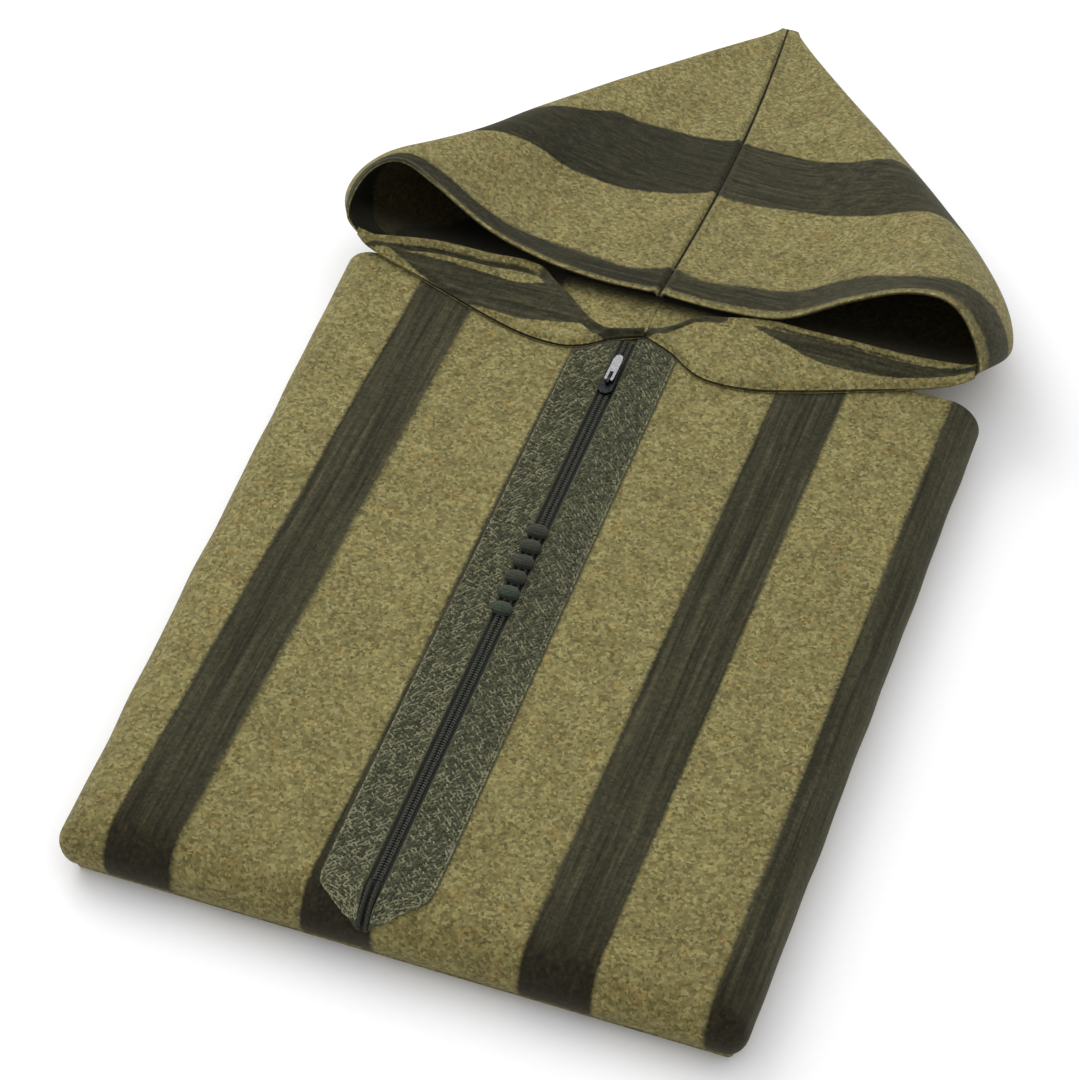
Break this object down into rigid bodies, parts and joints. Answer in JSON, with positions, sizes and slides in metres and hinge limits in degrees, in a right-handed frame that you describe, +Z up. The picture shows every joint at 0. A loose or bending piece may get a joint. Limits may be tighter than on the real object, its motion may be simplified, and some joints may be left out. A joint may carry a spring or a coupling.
{
  "type": "folded hooded robe",
  "caption": "Striped hooded wool robe folded flat, front up, with a short zip between two braid bands, knot buttons and an open pointed hood.",
  "frame": {"origin": "middle of the folded bundle's flat underside, which lies on the floor; the hood reaches past the bundle", "axes": "+Y from the front fold towards the hood's tip, +Z up, +X to the right as seen from the front fold"},
  "size_m": [0.442, 0.8528, 0.0986],
  "materials": {
    "wool": "olive melange wool with dark stripes, matt",
    "braid": "grey-green braid with a raised thread pattern",
    "zip_cloth": "near-black zip tape, coil and cord",
    "knot_cord": "dark green corded knot",
    "zip_metal": "dark lacquered metal",
    "tab_metal": "bright polished metal"
  },
  "bodies": {
    "garment": {"folded_layers": "wool", "front_panel": "wool", "placket_band_left": "braid", "placket_band_right": "braid", "zip_left": "zip_cloth", "zip_right": "zip_cloth", "placket_cord_left": "zip_cloth", "placket_cord_right": "zip_cloth", "slider": "zip_metal", "knot_1": "knot_cord", "knot_2": "knot_cord", "knot_3": "knot_cord", "knot_4": "knot_cord", "knot_5": "knot_cord", "knot_6": "knot_cord", "hood_left": "wool", "hood_right": "wool", "neck_corner_left": "wool", "neck_corner_right": "wool"},
    "pull_tab": {"pull_tab": "tab_metal"}
  },
  "joints": [
    {"name": "pull_tab_hinge", "type": "hinge", "parent": "garment", "child": "pull_tab", "pos_m": [-0.0253, 0.18625, 0.04942], "axis": [1, 0, 0], "range_deg": [0, 165]}
  ]
}
